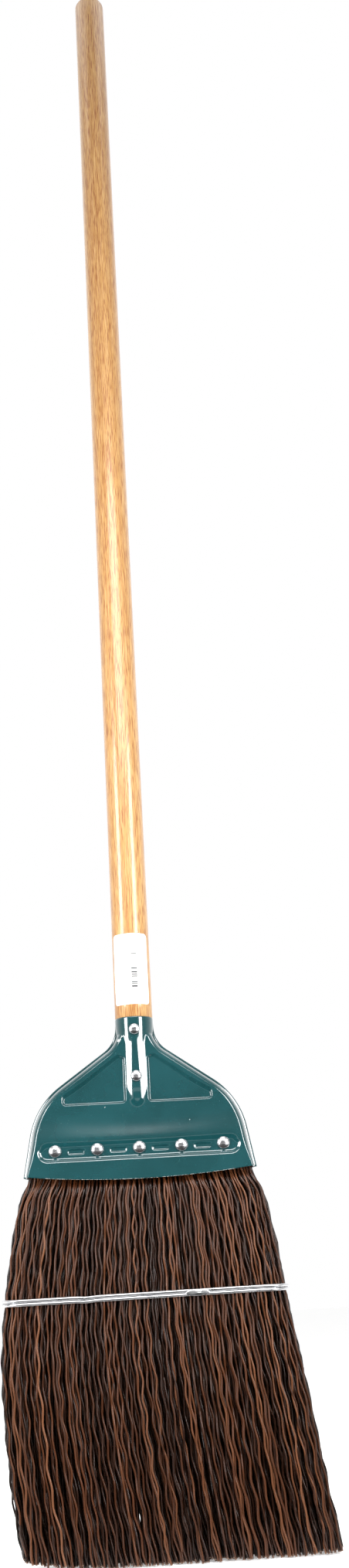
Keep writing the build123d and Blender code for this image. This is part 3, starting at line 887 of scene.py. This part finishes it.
def make_fibre_piece(name, places, fineness, top, seed, material, radius=FIBRE_RADIUS):
    """One mesh of many filaments. The inner layers are painted darker than the outer ones, as painted shade
    between the filaments.
    """
    sides, segments = fineness
    draw = random.Random(seed)
    # How far out the layers lie, which sets how much painted shade their filaments get.
    outer_lit_share = smooth_step(0.68, 0.98, np.abs([share_y for _, share_y in places])).mean()
    all_points, all_faces, tones_with_depth_shade, cuts = [], [], [], []
    start = 0
    for share_x, share_y in places:
        line = filament(draw, share_x, share_y, segments, top)
        points = tube(line, radius * draw.uniform(0.86, 1.06), sides, draw.uniform(0, 6.28))
        all_points.append(points)
        all_faces += grid_faces(segments, sides, start, around=True, flip=True)
        tip_ring = points[-sides:]
        all_points.append(tip_ring)
        cap_start = start + len(points)
        all_faces.append(tuple(range(cap_start + sides - 1, cap_start - 1, -1)))
        all_faces.append(tuple(range(start, start + sides)))
        # The mean tone falls with depth into the pack as painted shade. The spread about it is the filaments'
        # own tone.
        tone_and_depth_shade = min(max(draw.gauss(0.05 + 0.6 * outer_lit_share, 0.05 + 0.12 * outer_lit_share), 0.0), 1.0)
        tones_with_depth_shade += [tone_and_depth_shade] * (len(points) + sides)
        cuts += [0.0] * (len(points) - sides) + [1.0] * 2 * sides
        start += len(points) + sides
    piece = make_object(name, np.concatenate(all_points), all_faces, material)
    set_attribute(piece, "tone_and_depth_shade", tones_with_depth_shade)
    set_attribute(piece, "cut", cuts)
    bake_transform(piece)
    return piece


def layer_places(draw, count, share_y):
    """Filaments side by side across one layer, unevenly."""
    places = []
    for index in range(count):
        share_x = -1 + 2 * (index + 0.5 + draw.uniform(-0.42, 0.42)) / count
        places.append((share_x, share_y + draw.uniform(-0.045, 0.045)))
    return places


polymer = extruded_polymer()
spread = random.Random(17)
ACROSS = 70
FRONT_LAYERS = (-0.97, -0.82, -0.66)
BACK_LAYERS = (0.97, 0.82, 0.66)
INNER_LAYERS = (-0.5, -0.38, -0.26, -0.13, 0.0, 0.13, 0.26, 0.38, 0.5)
INNER_RADIUS = 1.0 * MM
OUTER_FINENESS = (8, 104)  # sides and rings of each filament
INNER_FINENESS = (5, 40)
OUTER_TOP = FIBRE_TOP - 20 * MM
INNER_TOP = FIBRE_TOP - 24 * MM
for side, layers, seed in (("front", FRONT_LAYERS, 0), ("back", BACK_LAYERS, 10)):
    for number, share_y in enumerate(layers, start=1):
        places = layer_places(spread, ACROSS, share_y)
        name = f"fibres_{side}_{number}"
        piece = make_fibre_piece(name, places, OUTER_FINENESS, OUTER_TOP, seed + number, polymer)
for number, share_y in enumerate(INNER_LAYERS, start=1):
    places = layer_places(spread, ACROSS, share_y)
    name = f"fibres_middle_{number}"
    piece = make_fibre_piece(name, places, INNER_FINENESS, INNER_TOP, 30 + number, polymer, INNER_RADIUS)
edge_places = []
for hand in (-1, 1):
    for step in range(9):
        edge_places.append((hand * spread.uniform(0.975, 1.0), -0.9 + 1.8 * step / 8))
make_fibre_piece("fibres_edge", edge_places, OUTER_FINENESS, OUTER_TOP, 41, polymer)
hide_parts("fibre_root", "fibre_skirt")


# ---------------- wire band
# Two turns of bright galvanised wire round the fan, side by side. Their ends are welded together on the
# front, a little to the right of the middle.

def galvanised_wire():
    """Smooth bright zinc with a faint bloom: nearly white where it faces a light, grey beside it."""
    material, tree, shader, place = start_material("galvanised_wire", Metallic=1.0, Roughness=0.2)
    along_wire = add(tree, "Mapping", {"Scale": one_per(9, 3, 3)}, {"Vector": place})
    bloom = add(tree, "TexNoise", {"Scale": 1.0, "Detail": 3.0}, {"Vector": along_wire})
    colour = add(tree, "ValToRGB", links={"Fac": bloom}, stops=((0.3, "#D8D9DC"), (0.7, "#F4F4F5")))
    rough = add(tree, "MapRange", {"To Min": 0.22, "To Max": 0.36}, {"Value": bloom})
    bump = add(tree, "Bump", {"Strength": 0.1, "Distance": 0.05 * MM}, {"Height": bloom})
    link_up(tree, shader, {"Base Color": colour, "Roughness": rough, "Normal": bump})
    return material


zinc = galvanised_wire()
WIRE_RADIUS = 1.15 * MM
WIRE_KINK_X = -42 * MM


def band_path(node):
    """Points round the fan, following the wire of the frame."""
    low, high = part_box(node)
    level = (low.z + high.z) / 2
    wide, deep = (high.x - low.x) / 2 - WIRE_RADIUS, (high.y - low.y) / 2 - WIRE_RADIUS
    middle = (high.x + low.x) / 2
    corner = 0.85 * deep
    steps_round = 10
    points = []
    for hand_x, hand_y, start in ((1, -1, -90), (1, 1, 0), (-1, 1, 90), (-1, -1, 180)):
        centre = (middle + hand_x * (wide - corner), hand_y * (deep - corner))
        for step in range(steps_round + 1):
            turn = math.radians(start + 90 * step / steps_round)
            points.append((centre[0] + corner * math.cos(turn), centre[1] + corner * math.sin(turn)))
    closed = []
    for (ax, ay), (bx, by) in zip(points, points[1:] + points[:1]):
        count = max(int(math.hypot(bx - ax, by - ay) / (2.2 * MM)), 1)
        closed += [(ax + (bx - ax) * s / count, ay + (by - ay) * s / count) for s in range(count)]
    line = np.array([(px, py, level) for px, py in closed])
    # The turns lie a little unevenly, and step down where one crosses a filament out of line.
    front = smooth_step(0.0, -6 * MM, line[:, 1])
    line[:, 2] += 0.35 * MM * np.sin(line[:, 0] / (58 * MM)) * front
    line[:, 2] -= 0.45 * MM * np.exp(-(((line[:, 0] - WIRE_KINK_X) / (5 * MM)) ** 2)) * front
    line[:, 1] -= 0.12 * MM * np.sin(line[:, 0] / (9 * MM)) * front
    return line


def closed_tube(line, radius, sides):
    """Vertices and faces of a wire that joins up with itself."""
    slope = unit(np.roll(line, -1, axis=0) - np.roll(line, 1, axis=0))
    outward = unit(np.cross(slope, (0.0, 0.0, 1.0)))
    upward = np.cross(outward, slope)
    turns = 2 * np.pi * np.arange(sides) / sides
    rings = line[:, None, :] + radius * (
        np.cos(turns)[None, :, None] * outward[:, None, :] + np.sin(turns)[None, :, None] * upward[:, None, :]
    )
    return rings.reshape(-1, 3), grid_faces(len(line), sides, around=True, closed=True)


for place in ("upper", "lower"):
    shape = closed_tube(band_path(f"band_wire_{place}"), WIRE_RADIUS, 16)
    wire = make_object(f"band_wire_{place}_zinc", *shape, zinc)
    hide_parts(f"band_wire_{place}")
    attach(wire, "bristles")

joint_low, joint_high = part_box("band_joint")
joint_middle = middle_of("band_joint")


def make_weld():
    """A flat uneven bead across both wires, with two small pits."""
    mesh = bmesh.new()
    bmesh.ops.create_icosphere(mesh, subdivisions=4, radius=1.0)
    half_sizes = Vector(((joint_high.x - joint_low.x) / 2 + 2.0 * MM, 0.75 * MM, 2.2 * MM))
    for vertex in mesh.verts:
        spot = vertex.co.copy()
        swell = 1 + 0.12 * math.sin(5 * spot.x + 1.0) * math.cos(4 * spot.z)
        for pit_x in (0.05, 0.3):
            swell -= 0.5 * math.exp(-((spot.x - pit_x) ** 2 + (spot.z - 0.1) ** 2) / 0.008) * (spot.y < 0)
        spot = Vector((spot.x, spot.y * swell, spot.z * swell)) * half_sizes
        vertex.co = spot + Vector((joint_middle.x + 3.5 * MM, joint_high.y + 0.25 * MM, joint_middle.z))
    data = bpy.data.meshes.new("band_weld")
    mesh.to_mesh(data)
    mesh.free()
    data.shade_smooth()
    data.materials.append(zinc)
    return into_scene("band_weld", data)


weld = make_weld()
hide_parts("band_joint")
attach(weld, "bristles")


# ---------------- floor, light and camera
# A pale floor under a white surround. Two tall soft lights in front give the long highlights, one above
# them lights the cap's slopes, and a broad one overhead fills in. The camera is low and looks up.

FLOOR_SIZE = 14.0


def pale_floor():
    """Matt white paint that glows a little, as an evenly lit studio floor does."""
    material, tree, shader, place = start_material("pale_floor", Roughness=0.9, Emission_Strength=0.35)
    grain = add(tree, "TexNoise", {"Scale": 1000 / 60, "Detail": 2.0}, {"Vector": place})
    colour = add(tree, "ValToRGB", links={"Fac": grain}, stops=((0.3, "#F4F4F3"), (0.7, "#FAFAFA")))
    shader.inputs["Emission Color"].default_value = to_linear("#FFFFFF")
    link_up(tree, shader, {"Base Color": colour})
    return material


half_floor = FLOOR_SIZE / 2
floor_corners = [(x, y, -0.4 * MM) for x, y in ((-1, -1), (1, -1), (1, 1), (-1, 1))]
floor_corners = [(x * half_floor, y * half_floor, z) for x, y, z in floor_corners]
floor = make_object("floor", floor_corners, [(0, 1, 2, 3)], pale_floor())


def make_surround():
    """The surround is white to the eye. In reflections it is bright to the sides and dark ahead."""
    world = bpy.data.worlds.new("surround")
    bpy.context.scene.world = world
    world.use_nodes = True
    tree = world.node_tree
    tree.nodes.clear()
    direction = add(tree, "TexCoord").outputs["Generated"]
    parts = add(tree, "SeparateXYZ", links={"Vector": direction})
    behind = add(tree, "MapRange", {"From Min": -1.0, "From Max": 1.0}, {"Value": parts.outputs["Y"]})
    shade_stops = ((0.0, 0.14), (0.25, 0.2), (0.5, 0.5), (0.8, 0.95))
    shade = add(tree, "ValToRGB", links={"Fac": behind}, stops=shade_stops)
    paths = add(tree, "LightPath")
    seen = add(tree, "Background", {"Color": (1, 1, 1, 1), "Strength": 1.0})
    felt = add(tree, "Background", {"Strength": 1.2}, {"Color": shade})
    both = add(tree, "MixShader", links={0: paths.outputs["Is Camera Ray"], 1: felt, 2: seen})
    add(tree, "OutputWorld", links={"Surface": both})


def add_light(name, place, aim, size, power, spread_deg):
    """A soft rectangular light that the camera doesn't see. A grid keeps its light within its spread."""
    data = bpy.data.lights.new(name, "AREA")
    data.spread = math.radians(spread_deg)
    data.shape = "RECTANGLE"
    data.size, data.size_y = size
    data.energy = power
    light = into_scene(name, data)
    light.location = place
    light.rotation_euler = (Vector(aim) - Vector(place)).to_track_quat("-Z", "Y").to_euler()
    light.visible_camera = False


make_surround()
add_light("left_front_softbox", (-0.95, -0.8, 0.6), (0, 0, 0.36), (0.4, 0.9), 5.8, 110)
add_light("right_front_softbox", (0.8, -0.95, 0.6), (0, 0, 0.36), (0.4, 0.9), 5.8, 110)
add_light("front_top_softbox", (0, -1.0, 1.2), (0, 0, 0.25), (1.0, 0.5), 3.8, 100)
add_light("overhead_softbox", (0, -0.2, 2.3), (0, 0, 0.3), (1.8, 1.0), 7, 180)


def black_flag():
    """Black felt, which reflects next to nothing."""
    material, tree, shader, place = start_material("black_flag", Roughness=0.9)
    nap = add(tree, "TexNoise", {"Scale": 1000 / 8, "Detail": 2.0}, {"Vector": place})
    colour = add(tree, "ValToRGB", links={"Fac": nap}, stops=((0.3, "#0B0B0B"), (0.7, "#151515")))
    link_up(tree, shader, {"Base Color": colour})
    return material


# A black card lies on the floor in front, below the view, and darkens the low reflections.
card_corners = [(x, y, 1.5 * MM) for x, y in ((-1.2, -2.8), (1.2, -2.8), (1.2, -0.06), (-1.2, -0.06))]
card = make_object("black_card", card_corners, [(0, 1, 2, 3)], black_flag())
card.visible_camera = False
card.visible_diffuse = False
card.visible_shadow = False

CAMERA_PLACE = (-0.001, -1.045, 0.1755)
CAMERA_YAW, CAMERA_PITCH, CAMERA_ROLL = (math.radians(angle) for angle in (2.33, 19.99, -3.315))
CAMERA_LENS_MM = 31.45

camera_data = bpy.data.cameras.new("camera")
camera_data.lens = CAMERA_LENS_MM
camera_data.sensor_width = 36.0
camera = into_scene("camera", camera_data)
turned = Matrix.Rotation(-CAMERA_YAW, 4, "Z") @ Matrix.Rotation(math.pi / 2 + CAMERA_PITCH, 4, "X")
turned = turned @ Matrix.Rotation(CAMERA_ROLL, 4, "Z")
turned.translation = Vector(CAMERA_PLACE)
camera.matrix_world = turned
bpy.context.scene.camera = camera
bpy.context.scene.view_settings.view_transform = "Standard"
